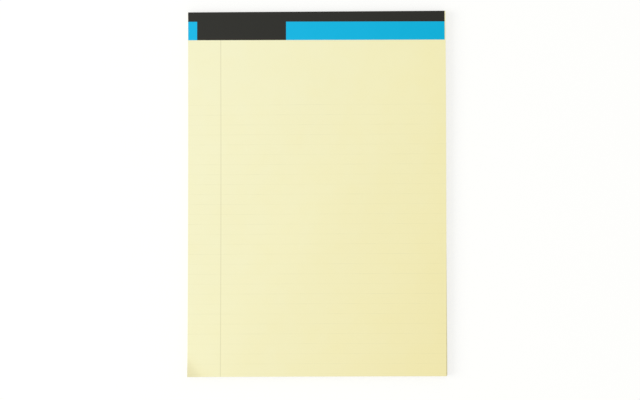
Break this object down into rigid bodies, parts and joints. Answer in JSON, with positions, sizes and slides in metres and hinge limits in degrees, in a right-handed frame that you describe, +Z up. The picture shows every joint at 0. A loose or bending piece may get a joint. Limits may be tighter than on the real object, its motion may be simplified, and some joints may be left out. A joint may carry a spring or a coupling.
{
  "type": "legal pad",
  "caption": "A4 head-bound writing pad of pale yellow ruled sheets with a greyboard back and a printed black and blue binding tape over the head.",
  "frame": {"origin": "middle of the underside of the greyboard back, on the surface that the pad lies on", "axes": "+Z up out of the top sheet, +Y along the sheets towards the bound head, +X across the sheets to the reader's right"},
  "size_m": [0.2112, 0.2971, 0.008],
  "materials": {
    "yellow_paper": "uncoated, pale yellow, faint feint rules and margin",
    "greyboard": "uncoated recycled greyboard",
    "printed_tape": "satin printed paper tape, black with a blue band",
    "staple_wire": "drawn galvanised wire"
  },
  "bodies": {
    "root": {"page_block": "yellow_paper", "backing_board": "greyboard", "binding_tape": "printed_tape", "staples": "staple_wire"}
  },
  "joints": []
}
